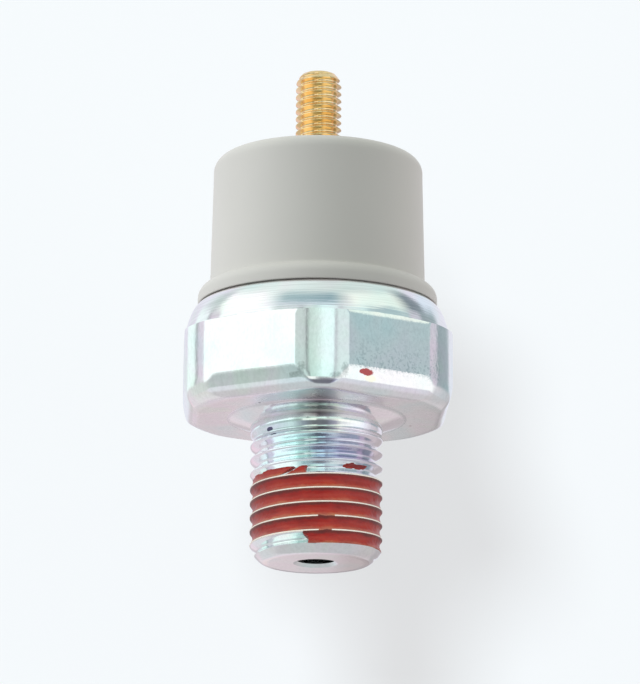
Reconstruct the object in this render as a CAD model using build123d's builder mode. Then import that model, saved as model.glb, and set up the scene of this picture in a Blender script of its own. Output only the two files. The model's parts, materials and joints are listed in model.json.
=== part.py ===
from build123d import *
import os
from math import cos, radians, sin, tan

# Oil pressure sender with one terminal, +Z up, in millimetres.
# The origin is the middle of the flat end of its M14 x 1.5 thread, and +Z runs up to the terminal.
# Oil comes in through the port and lifts a diaphragm. Its rod tips a lever, and a wiper on the
# lever slides along a resistance winding that feeds the terminal.

# Threaded shank and oil port
thread_diameter = 13.9
shank_length = 14.5
shank_chamfer = 0.8
port_diameter = 4.0
port_mouth_chamfer = 0.35
restrictor_length = 4.0
restrictor_step = 0.5
orifice_diameter = 0.7

# Steel hexagon with turned corners and a shoulder rolled in over the cap
across_flats = 28.1
corner_diameter = 30.0
hex_height = 8.3
collar_diameter = 18.7
collar_height = 0.9
base_bevel_width = 1.5
base_bevel_height = 1.3
flat_foot_inset = 0.35
flat_foot_bottom = 1.2
flat_foot_top = 2.65
corner_top_step = 0.3
corner_edge_bevel = 0.55
shoulder_height = 3.4
shoulder_bend_height = 1.1
shoulder_bend_width = 0.95
shoulder_top_diameter = 24.9

# Pressure chamber and cup inside the hexagon
chamber_floor = 2.0
chamber_depth = 1.2
chamber_diameter = 17.2
cup_diameter = 25.6
lip_opening = 24.2
lip_edge = 0.45
lip_bevel_height = 1.3

# Seal ring under the rim of the diaphragm
seal_groove_inner = 20.0
seal_groove_width = 1.6
seal_groove_depth = 0.9
seal_side_gap = 0.05

# Corrugated diaphragm and the plate at its middle
diaphragm_thickness = 0.15
diaphragm_clearance = 0.1
wave_height = 0.35
wave_count = 2
wave_margin = 0.25
wave_share = 0.7
pressure_plate_diameter = 6.0
pressure_plate_thickness = 0.5

# Base plate that clamps the diaphragm, with a tower for the spring
base_plate_thickness = 3.25
base_plate_recess = 1.6
tower_diameter = 7.4
tower_bore = 5.2
tower_height = 3.4
tower_roof = 0.8
running_clearance = 0.05

# Push rod and return spring
rod_diameter = 1.6
rod_foot_diameter = 3.0
rod_foot_thickness = 0.6
rod_stand_out = 0.6
rod_travel = 1.0
spring_wire = 0.45
spring_turns = 4.5
spring_end_gap = 0.03

# Bridge frame, pressed from sheet
sheet = 0.7
frame_radius = 8.8
frame_gap_to_tower = 0.15
ear_width = 3.4
ear_inner_span = 7.8
card_wall_y = -7.2
card_wall_half_width = 4.6
card_wall_margin = 0.3
frame_rivet_circle = 12.0
frame_rivet_diameter = 1.4
frame_rivet_head = 1.9
frame_rivet_head_height = 0.4
frame_bend_radius = 0.3

# Pivot pin and wiper lever
pivot_pin_diameter = 1.0
pivot_head_diameter = 1.8
pivot_head_thickness = 0.35
lever_swing = 24.0
lever_hub_diameter = 2.0
lever_side_gap = 0.1
lever_arm_thickness = 0.6
lever_foot_drop = 0.5
lever_foot_width = 2.2
lever_foot_overhang = 1.2
rod_to_lever_gap = 0.03
wiper_arm_width = 1.8
wiper_arm_end_width = 1.2
wiper_arm_end_gap = 1.6
wiper_lean = 12.0

# Wiper contact
contact_sheet = 0.2
contact_width = 1.3
contact_foot_length = 2.6
contact_foot_margin = 0.6
contact_step_out = 0.5
contact_step_length = 1.2
contact_tip_margin = 0.7
contact_button_diameter = 0.9
contact_button_bevel = 0.15
contact_gap = 0.1

# Resistance card and winding
card_width = 8.8
card_height = 5.2
card_thickness = 0.8
card_headroom = 1.15
insulator_thickness = 0.6
insulator_margin = 0.2
winding_width = 5.8
winding_turns = 20
winding_core = 0.08
winding_wire = 0.2
winding_rise = 0.1
winding_clearance = 0.1
card_rivet_diameter = 0.8
card_rivet_head = 1.3
card_rivet_head_height = 0.3
card_rivet_inset = 0.65

# Strips from the ends of the winding
strip_thickness = 0.2
strip_width = 1.1
strip_end_margin = 0.7
strip_pad_radius = 1.4

# Moulded cap
cap_seal_thickness = 0.5
cap_seal_width = 1.8
cap_seat_clearance = 0.05
skirt_bore = 18.6
flange_gap = 0.12
flange_diameter = 25.3
flange_height = 2.58
flange_rim_height = 0.85
flange_bevel_width = 0.42
flange_bevel_height = 1.0
cap_foot_diameter = 22.72
cap_top_diameter = 22.2
cap_height = 13.57
cap_top_round = 1.5
cap_wall_top = 2.15
cap_roof = 2.05

# Terminal stud, moulded into the cap
stud_diameter = 4.87
stud_length = 9.58
stud_point_length = 1.2
stud_point_width = 0.75
stud_collar_diameter = 7.2
stud_collar_rise = 0.4
stud_flange_diameter = 9.2
stud_flange_thickness = 0.8
stud_tail_diameter = 4.0
stud_boss_diameter = 12.0
stud_boss_depth = 1.4
stud_flange_cover = 0.5
stud_tail_drop = 0.6

# Heights above the thread end
collar_z = shank_length
under_z = collar_z + collar_height
corner_top_z = under_z + hex_height
shoulder_z = corner_top_z + corner_top_step
lip_z = shoulder_z + shoulder_height
shoulder_bend_z = lip_z - shoulder_bend_height
chamber_floor_z = under_z + chamber_floor
seat_z = chamber_floor_z + chamber_depth
plate_z = seat_z + diaphragm_thickness
plate_top_z = plate_z + base_plate_thickness
web_z = plate_z + base_plate_recess
press_plate_top_z = plate_z + pressure_plate_thickness
tower_top_z = plate_top_z + tower_height
tower_roof_z = tower_top_z - tower_roof
rod_tip_z = tower_top_z + rod_stand_out
skirt_z = plate_top_z + cap_seal_thickness
flange_z = lip_z + flange_gap
ledge_z = flange_z + flange_height
cap_top_z = ledge_z + cap_height
cap_roof_z = cap_top_z - cap_roof
stud_boss_z = cap_roof_z - stud_boss_depth
stud_tail_z = stud_boss_z - stud_tail_drop

# Radii
shank_radius = thread_diameter / 2
port_radius = port_diameter / 2
restrictor_radius = port_radius + restrictor_step
flat_distance = across_flats / 2
corner_radius = corner_diameter / 2
shoulder_radius = flat_distance
shoulder_top_radius = shoulder_top_diameter / 2
shoulder_bend_radius = shoulder_top_radius + shoulder_bend_width
cup_radius = cup_diameter / 2
lip_radius = lip_opening / 2
chamber_radius = chamber_diameter / 2
diaphragm_radius = cup_radius - diaphragm_clearance
skirt_radius = skirt_bore / 2
rod_radius = rod_diameter / 2

# Pivot of the lever. Half of its swing lies either side of square to the rod,
# so the foot of the lever keeps its place on the rod.
half_swing = radians(lever_swing / 2)
lever_offset = rod_travel / (2 * tan(half_swing))
pivot_z = (
    rod_tip_z
    - rod_radius
    + (rod_radius + rod_to_lever_gap + lever_foot_drop) / cos(half_swing)
    + lever_offset * tan(half_swing)
)
ear_y = ear_inner_span / 2
lever_half_length = ear_y - lever_side_gap

# Card and winding, measured along Y from the wall of the frame towards the lever
insulator_y = card_wall_y + sheet
card_y = insulator_y + insulator_thickness
card_face_y = card_y + card_thickness
winding_depth = winding_core + winding_rise
winding_face_y = card_face_y + winding_depth
card_top_z = stud_tail_z - card_headroom
card_middle_z = card_top_z - card_height / 2
card_rivet_x = card_width / 2 - card_rivet_inset

# Reach of the wiper. Half-way through its swing it points at the middle of the card.
lean = radians(wiper_lean)
wiper_reach = (card_middle_z - pivot_z) / cos(lean)
wiper_arm_length = wiper_reach - wiper_arm_end_gap
contact_bend_start = wiper_arm_length - contact_foot_margin
contact_foot_start = contact_bend_start - contact_foot_length


def edge_radius(edge):
    """Distance of the middle of an edge from the main axis."""
    middle = edge @ 0.5
    return (middle.X**2 + middle.Y**2) ** 0.5


def circles_at(part, radius, height):
    """Circular edges of a part at one radius and height."""
    circles = part.edges().filter_by(GeomType.CIRCLE)
    level = circles.filter_by(lambda e: abs(e.arc_center.Z - height) < 0.01)
    return level.filter_by(lambda e: abs(e.radius - radius) < 0.01)


# Cutter for one flat: upright over the height of the hexagon, sloping in at its foot
with BuildPart() as flat_cutter:
    with BuildSketch(Plane.XZ):
        with BuildLine():
            Polyline(
                (corner_radius + 2, under_z - 1),
                (flat_distance - flat_foot_inset, under_z - 1),
                (flat_distance - flat_foot_inset, under_z + flat_foot_bottom),
                (flat_distance, under_z + flat_foot_top),
                (flat_distance, shoulder_z),
                (corner_radius + 2, shoulder_z),
                close=True,
            )
        make_face()
    extrude(amount=corner_radius, both=True)

# Steel body: thread shank, collar, hexagon, pressure chamber and cup with its rolled shoulder.
# The flats are cut before the chamber and the cup are hollowed out.
with BuildPart() as hex_body:
    with BuildSketch(Plane.XZ):
        with BuildLine():
            Polyline(
                (lip_radius, lip_z),
                (lip_radius, lip_z - lip_edge),
                (cup_radius, lip_z - lip_edge - lip_bevel_height),
                (cup_radius, seat_z),
                (chamber_radius, seat_z),
                (chamber_radius, chamber_floor_z),
                (restrictor_radius, chamber_floor_z),
                (restrictor_radius, chamber_floor_z - restrictor_length),
                (port_radius, chamber_floor_z - restrictor_length),
                (port_radius, port_mouth_chamfer),
                (port_radius + port_mouth_chamfer, 0),
                (shank_radius - shank_chamfer, 0),
                (shank_radius, shank_chamfer),
                (shank_radius, collar_z),
                (collar_diameter / 2, under_z),
                (corner_radius - base_bevel_width, under_z),
                (corner_radius, under_z + base_bevel_height),
                (corner_radius, corner_top_z),
                (shoulder_radius, shoulder_z),
                (shoulder_bend_radius, shoulder_bend_z),
            )
            TangentArc(
                (shoulder_bend_radius, shoulder_bend_z),
                (shoulder_top_radius, lip_z),
                tangent=(shoulder_bend_radius - shoulder_radius, shoulder_bend_z - shoulder_z),
            )
            Line((shoulder_top_radius, lip_z), (lip_radius, lip_z))
        make_face()
    revolve(axis=Axis.Z)
    with PolarLocations(0, 6):
        add(flat_cutter.part, mode=Mode.SUBTRACT)
    corner_edges = hex_body.edges().filter_by(Axis.Z).filter_by(lambda e: edge_radius(e) > flat_distance)
    chamfer(corner_edges, length=corner_edge_bevel)
    with BuildSketch(Plane.XY.offset(seat_z)):
        Circle(seal_groove_inner / 2 + seal_groove_width)
        Circle(seal_groove_inner / 2, mode=Mode.SUBTRACT)
    extrude(amount=-seal_groove_depth, mode=Mode.SUBTRACT)
hex_body.part.label = "hex_body"

# Brass plug with a fine orifice, pressed into the port from the chamber
with BuildPart() as port_restrictor:
    with BuildSketch(Plane.XY.offset(chamber_floor_z - restrictor_length)):
        Circle(restrictor_radius)
    extrude(amount=restrictor_length)
    with Locations((0, 0, chamber_floor_z)):
        CounterSinkHole(orifice_diameter / 2, restrictor_radius / 2)
port_restrictor.part.label = "port_restrictor"

# Rubber ring, squeezed flat between its groove and the diaphragm
with BuildPart() as diaphragm_seal:
    with BuildSketch(Plane.XZ):
        with Locations((seal_groove_inner / 2 + seal_groove_width / 2, seat_z - seal_groove_depth / 2)):
            Rectangle(seal_groove_width - 2 * seal_side_gap, seal_groove_depth)
    revolve(axis=Axis.Z)
diaphragm_seal.part.label = "diaphragm_seal"

# Bronze diaphragm with pressed corrugations between its flat middle and its clamped rim
wave_start = pressure_plate_diameter / 2 + wave_margin
wave_pitch = (chamber_radius - wave_margin - wave_start) / wave_count


def diaphragm_side(height):
    """Adds one side of the diaphragm's section, from the axis to the rim."""
    Line((0, height), (wave_start, height))
    for wave in range(wave_count):
        foot = wave_start + wave * wave_pitch
        hump = wave_pitch * wave_share
        Polyline(
            (foot, height),
            (foot + hump / 2, height + wave_height),
            (foot + hump, height),
            (foot + wave_pitch, height),
        )
    Line((wave_start + wave_count * wave_pitch, height), (diaphragm_radius, height))


with BuildPart() as diaphragm:
    with BuildSketch(Plane.XZ):
        with BuildLine():
            diaphragm_side(seat_z)
            diaphragm_side(plate_z)
            Line((0, seat_z), (0, plate_z))
            Line((diaphragm_radius, seat_z), (diaphragm_radius, plate_z))
        make_face()
    revolve(axis=Axis.Z)
diaphragm.part.label = "diaphragm"

# Stiff plate that rides on the middle of the diaphragm
with BuildPart() as pressure_plate:
    with BuildSketch(Plane.XY.offset(plate_z)):
        Circle(pressure_plate_diameter / 2)
    extrude(amount=pressure_plate_thickness)
    chamfer(pressure_plate.edges().group_by(Axis.Z)[-1], length=pressure_plate_thickness / 4)
pressure_plate.part.label = "pressure_plate"

# Push rod: a foot that centres the spring, a stem and a round tip
with BuildPart() as push_rod:
    with BuildSketch(Plane.XZ):
        with BuildLine():
            Polyline(
                (0, rod_tip_z),
                (0, press_plate_top_z),
                (rod_foot_diameter / 2, press_plate_top_z),
                (rod_foot_diameter / 2, press_plate_top_z + rod_foot_thickness),
                (rod_radius, press_plate_top_z + rod_foot_thickness),
                (rod_radius, rod_tip_z - rod_radius),
            )
            RadiusArc((rod_radius, rod_tip_z - rod_radius), (0, rod_tip_z), -rod_radius)
        make_face()
    revolve(axis=Axis.Z)
push_rod.part.label = "push_rod"

# Return spring of square wire, between the pressure plate and the roof of the tower
spring_radius = (rod_foot_diameter + tower_bore) / 4
spring_bottom = press_plate_top_z + spring_wire / 2 + spring_end_gap
spring_rise = tower_roof_z - spring_wire / 2 - spring_end_gap - spring_bottom

with BuildPart() as return_spring:
    with BuildLine() as coil:
        Helix(spring_rise / spring_turns, spring_rise, spring_radius, center=(0, 0, spring_bottom))
    with BuildSketch(Plane(origin=coil.line @ 0, x_dir=(1, 0, 0), z_dir=coil.line % 0)):
        Rectangle(spring_wire, spring_wire)
    sweep(path=coil.line)
return_spring.part.label = "return_spring"

# Base plate: clamps the rim of the diaphragm, holds the spring and guides the rod
plate_radius = diaphragm_radius
guide_radius = rod_radius + running_clearance

with BuildPart() as base_plate:
    with BuildSketch(Plane.XZ):
        with BuildLine():
            Polyline(
                (guide_radius, tower_roof_z),
                (tower_bore / 2, tower_roof_z),
                (tower_bore / 2, web_z),
                (chamber_radius, web_z),
                (chamber_radius, plate_z),
                (plate_radius, plate_z),
                (plate_radius, plate_top_z),
                (tower_diameter / 2, plate_top_z),
                (tower_diameter / 2, tower_top_z),
                (guide_radius, tower_top_z),
                close=True,
            )
        make_face()
    revolve(axis=Axis.Z)
    chamfer(circles_at(base_plate, tower_diameter / 2, tower_top_z), length=tower_roof / 2)
    with Locations(Location((0, 0, plate_top_z))):
        with PolarLocations(frame_rivet_circle / 2, 3):
            Hole(frame_rivet_diameter / 2, depth=base_plate_thickness)
base_plate.part.label = "base_plate"

# Bridge frame: a flat foot, two ears for the pivot and a tall wall for the card
frame_top_z = plate_top_z + sheet
wall_top_z = card_top_z + card_wall_margin

with BuildPart() as bridge_frame:
    with BuildSketch(Plane.XY.offset(plate_top_z)):
        Circle(frame_radius)
        Circle(tower_diameter / 2 + frame_gap_to_tower, mode=Mode.SUBTRACT)
        with Locations((0, card_wall_y)):
            Rectangle(2 * frame_radius, frame_radius, align=(Align.CENTER, Align.MAX), mode=Mode.SUBTRACT)
        with PolarLocations(frame_rivet_circle / 2, 3):
            Circle(frame_rivet_diameter / 2, mode=Mode.SUBTRACT)
    extrude(amount=sheet)
    with BuildSketch(Plane.XZ.offset(-insulator_y)):
        with Locations((0, plate_top_z)):
            Rectangle(2 * card_wall_half_width, wall_top_z - plate_top_z, align=(Align.CENTER, Align.MIN))
        fillet(vertices().group_by(Axis.Y)[-1], radius=sheet)
        with Locations((-card_rivet_x, card_middle_z), (card_rivet_x, card_middle_z)):
            Circle(card_rivet_diameter / 2, mode=Mode.SUBTRACT)
    extrude(amount=sheet)
    wall_edges = bridge_frame.edges().filter_by(lambda e: abs((e @ 0.5).Y - insulator_y) < 0.01)
    fillet(wall_edges.filter_by(lambda e: abs((e @ 0.5).Z - frame_top_z) < 0.01), radius=frame_bend_radius)
    for side in (-ear_y, ear_y + sheet):
        with BuildSketch(Plane.XZ.offset(-side)):
            with Locations((lever_offset, pivot_z)):
                Circle(ear_width / 2)
            with Locations((lever_offset, plate_top_z)):
                Rectangle(ear_width, pivot_z - plate_top_z, align=(Align.CENTER, Align.MIN))
            with Locations((lever_offset, pivot_z)):
                Circle(pivot_pin_diameter / 2, mode=Mode.SUBTRACT)
        extrude(amount=sheet)
bridge_frame.part.label = "bridge_frame"

# Rivets that hold the frame down on the base plate
with BuildPart() as frame_rivets:
    with BuildSketch(Plane.XY.offset(web_z)):
        with PolarLocations(frame_rivet_circle / 2, 3):
            Circle(frame_rivet_diameter / 2)
    extrude(amount=frame_top_z - web_z)
    with BuildSketch(Plane.XY.offset(frame_top_z)):
        with PolarLocations(frame_rivet_circle / 2, 3):
            Circle(frame_rivet_head / 2)
    extrude(amount=frame_rivet_head_height)
    chamfer(frame_rivets.edges().group_by(Axis.Z)[-1], length=frame_rivet_head_height / 2)
frame_rivets.part.label = "frame_rivets"

# Pivot pin, headed at both ends outside the ears
pin_y = ear_y + sheet

with BuildPart() as pivot_pin:
    with BuildSketch(Plane.XZ):
        with Locations((lever_offset, pivot_z)):
            Circle(pivot_pin_diameter / 2)
    extrude(amount=pin_y, both=True)
    for side in (pin_y + pivot_head_thickness, -pin_y):
        with BuildSketch(Plane.XZ.offset(-side)):
            with Locations((lever_offset, pivot_z)):
                Circle(pivot_head_diameter / 2)
        extrude(amount=pivot_head_thickness)
    chamfer(
        pivot_pin.edges().group_by(Axis.Y)[0] + pivot_pin.edges().group_by(Axis.Y)[-1],
        length=pivot_head_thickness / 2,
    )
pivot_pin.part.label = "pivot_pin"

# Wiper lever in its own plane. At rest it is turned back by half of its swing.
lever_plane = Plane(
    origin=(lever_offset, 0, pivot_z),
    x_dir=(cos(half_swing), 0, sin(half_swing)),
    z_dir=(0, -1, 0),
)

with BuildPart() as wiper_lever:
    with BuildSketch(lever_plane):
        Circle(lever_hub_diameter / 2)
    extrude(amount=lever_half_length, both=True)
    with BuildSketch(lever_plane):
        with Locations((0, -lever_foot_drop)):
            Rectangle(
                lever_offset + lever_foot_overhang, lever_arm_thickness, align=(Align.MAX, Align.MIN)
            )
    extrude(amount=lever_foot_width / 2, both=True)
    with BuildSketch(lever_plane.offset(lever_half_length - lever_arm_thickness)):
        Circle(wiper_arm_width / 2)
        with Locations((-wiper_arm_length * sin(lean), wiper_arm_length * cos(lean))):
            Circle(wiper_arm_end_width / 2)
        make_hull()
    extrude(amount=lever_arm_thickness)
    with BuildSketch(lever_plane):
        Circle(pivot_pin_diameter / 2 + running_clearance)
    extrude(amount=lever_half_length, both=True, mode=Mode.SUBTRACT)
wiper_lever.part.label = "wiper_lever"

# Sprung wiper contact on the outer face of the lever's arm, cranked out to the winding
contact_turn = half_swing + lean
contact_plane = Plane(
    origin=(lever_offset, 0, pivot_z),
    x_dir=(0, -1, 0),
    z_dir=(-cos(contact_turn), 0, -sin(contact_turn)),
)
contact_out = lever_half_length + contact_step_out
contact_end = wiper_reach + contact_tip_margin
button_reach = -winding_face_y - contact_gap

with BuildPart() as wiper_contact:
    with BuildSketch(contact_plane):
        with BuildLine():
            Polyline(
                (lever_half_length, contact_foot_start),
                (lever_half_length, contact_bend_start),
                (contact_out, contact_bend_start + contact_step_length),
                (contact_out, contact_end),
                (contact_out + contact_sheet, contact_end),
                (contact_out + contact_sheet, contact_bend_start + contact_step_length),
                (lever_half_length + contact_sheet, contact_bend_start),
                (lever_half_length + contact_sheet, contact_foot_start),
                close=True,
            )
        make_face()
    extrude(amount=contact_width / 2, both=True)
    button_plane = Plane(
        origin=contact_plane.from_local_coords((contact_out + contact_sheet, wiper_reach, 0)),
        z_dir=(0, -1, 0),
    )
    with BuildSketch(button_plane):
        Circle(contact_button_diameter / 2)
    extrude(amount=button_reach - contact_out - contact_sheet)
    chamfer(wiper_contact.edges().group_by(Axis.Y)[0], length=contact_button_bevel)
wiper_contact.part.label = "wiper_contact"

# Insulating card that carries the winding
with BuildPart() as resistor_card:
    with BuildSketch(Plane.XZ.offset(-card_face_y)):
        with Locations((0, card_middle_z)):
            Rectangle(card_width, card_height)
        with Locations((-card_rivet_x, card_middle_z), (card_rivet_x, card_middle_z)):
            Circle(card_rivet_diameter / 2, mode=Mode.SUBTRACT)
    extrude(amount=card_thickness)
resistor_card.part.label = "resistor_card"

# Resistance wire, wound turn beside turn round the card on a thin varnish layer
turn_pitch = winding_width / winding_turns
card_centre_plane = Plane(
    origin=(-winding_width / 2, card_y + card_thickness / 2, card_middle_z), x_dir=(0, 1, 0), z_dir=(1, 0, 0)
)

with BuildPart() as resistor_winding:
    with BuildSketch(card_centre_plane):
        Rectangle(card_thickness + 2 * winding_core, card_height + 2 * winding_core)
        Rectangle(card_thickness, card_height, mode=Mode.SUBTRACT)
    extrude(amount=winding_width)
    for turn in range(winding_turns):
        with BuildSketch(card_centre_plane.offset((turn + 0.5) * turn_pitch - winding_wire / 2)):
            Rectangle(card_thickness + 2 * winding_depth, card_height + 2 * winding_depth)
            Rectangle(card_thickness, card_height, mode=Mode.SUBTRACT)
        extrude(amount=winding_wire)
resistor_winding.part.label = "resistor_winding"

# Insulator between the card and the frame, relieved behind the winding
relief_depth = winding_depth + winding_clearance

with BuildPart() as card_insulator:
    with BuildSketch(Plane.XZ.offset(-card_y)):
        with Locations((0, card_middle_z)):
            Rectangle(card_width, card_height + 2 * insulator_margin)
        with Locations((-card_rivet_x, card_middle_z), (card_rivet_x, card_middle_z)):
            Circle(card_rivet_diameter / 2, mode=Mode.SUBTRACT)
    extrude(amount=insulator_thickness)
    with BuildSketch(Plane.XZ.offset(-card_y)):
        with Locations((0, card_middle_z)):
            Rectangle(winding_width + 2 * winding_clearance, card_height + 2 * insulator_margin)
    extrude(amount=relief_depth, mode=Mode.SUBTRACT)
card_insulator.part.label = "card_insulator"

# Two rivets through the frame, the insulator, the card and the strips
strip_face_y = card_face_y + strip_thickness
card_rivet_head_y = card_wall_y - card_rivet_head_height

with BuildPart() as card_rivets:
    with BuildSketch(Plane.XZ.offset(-strip_face_y)):
        with Locations((-card_rivet_x, card_middle_z), (card_rivet_x, card_middle_z)):
            Circle(card_rivet_diameter / 2)
    extrude(amount=strip_face_y - card_wall_y)
    for head_y in (strip_face_y + card_rivet_head_height, card_wall_y):
        with BuildSketch(Plane.XZ.offset(-head_y)):
            with Locations((-card_rivet_x, card_middle_z), (card_rivet_x, card_middle_z)):
                Circle(card_rivet_head / 2)
        extrude(amount=card_rivet_head_height)
card_rivets.part.label = "card_rivets"

# Terminal strip: up the face of the card, then over to the tail of the stud
strip_bottom_z = card_middle_z - strip_end_margin

with BuildPart() as terminal_strip:
    with BuildSketch(Plane.XZ.offset(-strip_face_y)):
        with Locations((-card_rivet_x, strip_bottom_z)):
            Rectangle(strip_width, stud_tail_z - strip_bottom_z, align=(Align.CENTER, Align.MIN))
        with Locations((-card_rivet_x, card_middle_z)):
            Circle(card_rivet_diameter / 2, mode=Mode.SUBTRACT)
    extrude(amount=strip_thickness)
    with BuildSketch(Plane.XY.offset(stud_tail_z)):
        with Locations((-card_rivet_x, card_face_y)):
            Rectangle(strip_width, strip_width, align=(Align.CENTER, Align.MIN))
        Circle(strip_pad_radius)
        make_hull()
    extrude(amount=-strip_thickness)
terminal_strip.part.label = "terminal_strip"

# Ground strip: from the card's face round its end to the frame
ground_inner_x = card_rivet_x - strip_width / 2

with BuildPart() as ground_strip:
    with BuildSketch(Plane.XY.offset(card_middle_z - strip_end_margin)):
        with BuildLine():
            Polyline(
                (ground_inner_x, strip_face_y),
                (card_width / 2 + strip_thickness, strip_face_y),
                (card_width / 2 + strip_thickness, insulator_y),
                (card_width / 2, insulator_y),
                (card_width / 2, card_face_y),
                (ground_inner_x, card_face_y),
                close=True,
            )
        make_face()
    extrude(amount=2 * strip_end_margin)
    with BuildSketch(Plane.XZ.offset(-strip_face_y)):
        with Locations((card_rivet_x, card_middle_z)):
            Circle(card_rivet_diameter / 2)
    extrude(amount=strip_thickness, mode=Mode.SUBTRACT)
ground_strip.part.label = "ground_strip"

# Flat seal between the base plate and the skirt of the cap
with BuildPart() as cap_seal:
    with BuildSketch(Plane.XY.offset(plate_top_z)):
        Circle(plate_radius)
        Circle(plate_radius - cap_seal_width, mode=Mode.SUBTRACT)
    extrude(amount=cap_seal_thickness)
cap_seal.part.label = "cap_seal"

# Brass terminal stud: a tail for the strip, a flange and a collar moulded in, and the threaded end
stud_flange_z = stud_boss_z + stud_flange_cover
stud_collar_z = cap_top_z + stud_collar_rise
stud_top_z = cap_top_z + stud_length
stud_radius = stud_diameter / 2

with BuildPart() as terminal_stud:
    with BuildSketch(Plane.XZ):
        with BuildLine():
            Polyline(
                (0, stud_tail_z),
                (stud_tail_diameter / 2, stud_tail_z),
                (stud_tail_diameter / 2, stud_flange_z),
                (stud_flange_diameter / 2, stud_flange_z),
                (stud_flange_diameter / 2, stud_flange_z + stud_flange_thickness),
                (stud_collar_diameter / 2, stud_flange_z + stud_flange_thickness),
                (stud_collar_diameter / 2, stud_collar_z),
                (stud_radius, stud_collar_z),
                (stud_radius, stud_top_z - stud_point_length),
                (stud_radius - stud_point_width, stud_top_z),
                (0, stud_top_z),
                close=True,
            )
        make_face()
    revolve(axis=Axis.Z)
terminal_stud.part.label = "terminal_stud"

# Moulded cap: skirt held under the rolled shoulder, groove for its edge, sloping flange, tapered cup
skirt_outer = cup_radius - cap_seat_clearance
groove_radius = lip_radius - cap_seat_clearance
lip_bevel_top_z = lip_z - lip_edge
cap_foot_radius = cap_foot_diameter / 2
cap_top_radius = cap_top_diameter / 2
flange_radius = flange_diameter / 2
flange_rim_z = flange_z + flange_rim_height

with BuildPart() as cap:
    with BuildSketch(Plane.XZ):
        with BuildLine():
            Polyline(
                (0, cap_roof_z),
                (cap_top_radius - cap_wall_top, cap_roof_z),
                (skirt_radius, skirt_z),
                (skirt_outer, skirt_z),
                (skirt_outer, lip_bevel_top_z - lip_bevel_height - cap_seat_clearance),
                (groove_radius, lip_bevel_top_z - cap_seat_clearance),
                (groove_radius, flange_z),
                (flange_radius, flange_z),
                (flange_radius, flange_rim_z),
                (flange_radius - flange_bevel_width, flange_rim_z + flange_bevel_height),
                (cap_foot_radius, ledge_z),
                (cap_top_radius, cap_top_z),
                (0, cap_top_z),
                close=True,
            )
        make_face()
    revolve(axis=Axis.Z)
    fillet(circles_at(cap, cap_top_radius, cap_top_z), radius=cap_top_round)
    with BuildSketch(Plane.XY.offset(cap_roof_z)):
        Circle(stud_boss_diameter / 2)
    extrude(amount=-stud_boss_depth)
    add(terminal_stud.part, mode=Mode.SUBTRACT)
cap.part.label = "cap"

pieces = (
    hex_body,
    port_restrictor,
    diaphragm_seal,
    diaphragm,
    pressure_plate,
    push_rod,
    return_spring,
    base_plate,
    bridge_frame,
    frame_rivets,
    pivot_pin,
    wiper_lever,
    wiper_contact,
    resistor_card,
    resistor_winding,
    card_insulator,
    card_rivets,
    terminal_strip,
    ground_strip,
    cap_seal,
    terminal_stud,
    cap,
)

os.makedirs("parts", exist_ok=True)
for piece in pieces:
    export_step(piece.part, f"parts/{piece.part.label}.step")
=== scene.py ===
import bpy
import json
import math
import numpy as np
from mathutils import Euler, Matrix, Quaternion, Vector


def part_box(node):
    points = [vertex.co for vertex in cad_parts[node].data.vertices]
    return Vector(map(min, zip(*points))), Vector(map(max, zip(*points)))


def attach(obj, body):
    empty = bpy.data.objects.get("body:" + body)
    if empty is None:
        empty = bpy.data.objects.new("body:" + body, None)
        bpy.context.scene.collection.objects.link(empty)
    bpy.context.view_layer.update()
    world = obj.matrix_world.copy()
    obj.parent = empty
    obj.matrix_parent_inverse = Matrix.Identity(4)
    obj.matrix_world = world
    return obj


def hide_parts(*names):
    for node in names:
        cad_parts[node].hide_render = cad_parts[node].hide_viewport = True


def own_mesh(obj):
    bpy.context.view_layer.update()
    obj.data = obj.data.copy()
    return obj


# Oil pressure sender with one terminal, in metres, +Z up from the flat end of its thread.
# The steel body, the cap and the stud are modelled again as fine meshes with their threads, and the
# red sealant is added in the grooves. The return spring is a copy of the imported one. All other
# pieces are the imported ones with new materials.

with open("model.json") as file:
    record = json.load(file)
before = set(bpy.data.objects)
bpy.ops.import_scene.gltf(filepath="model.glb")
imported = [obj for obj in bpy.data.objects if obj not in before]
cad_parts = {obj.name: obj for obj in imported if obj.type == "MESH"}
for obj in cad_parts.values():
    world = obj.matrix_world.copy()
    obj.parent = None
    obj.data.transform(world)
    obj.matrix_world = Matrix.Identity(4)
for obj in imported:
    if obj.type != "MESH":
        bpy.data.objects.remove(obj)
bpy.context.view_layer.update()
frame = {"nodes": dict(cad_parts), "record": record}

MM = 0.001
DEGREE = math.pi / 180


def mount(name):
    """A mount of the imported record."""
    return next(m for m in frame["record"]["mounts"] if m["name"] == name)


# Sizes that come from the frame
body_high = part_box("hex_body")[1]
plate_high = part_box("base_plate")[1]
cap_low, cap_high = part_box("cap")
stud_low, stud_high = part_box("terminal_stud")
restrictor_low, restrictor_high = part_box("port_restrictor")
seal_low, seal_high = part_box("diaphragm_seal")
crest_radius = mount("mounting_thread")["dims"]["r_mm"] * MM
port_radius = mount("pressure_port")["dims"]["r_mm"] * MM
stud_crest_radius = mount("terminal_stud")["dims"]["r_mm"] * MM
under_z = mount("sealing_face")["pos_m"][2]
lip_z = body_high.z
corner_radius = 15.0 * MM
flat_distance = body_high.x
cup_radius = plate_high.x + 0.1 * MM

# Threaded shank. The thread starts at the height of its lowest crest at the front, and its worn end
# is flat out to end_radius.
thread_pitch = 1.5 * MM
thread_depth = 0.9 * MM
thread_crest = 0.14 * MM
thread_start = 2.17 * MM
thread_run_out = 3.3 * MM
thread_step = thread_pitch / 16
end_radius = 5.5 * MM
end_height = 1.3 * MM
port_chamfer = 0.35 * MM
collar_z = under_z - 0.9 * MM
collar_radius = 9.35 * MM
collar_bevel = 0.1 * MM

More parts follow.
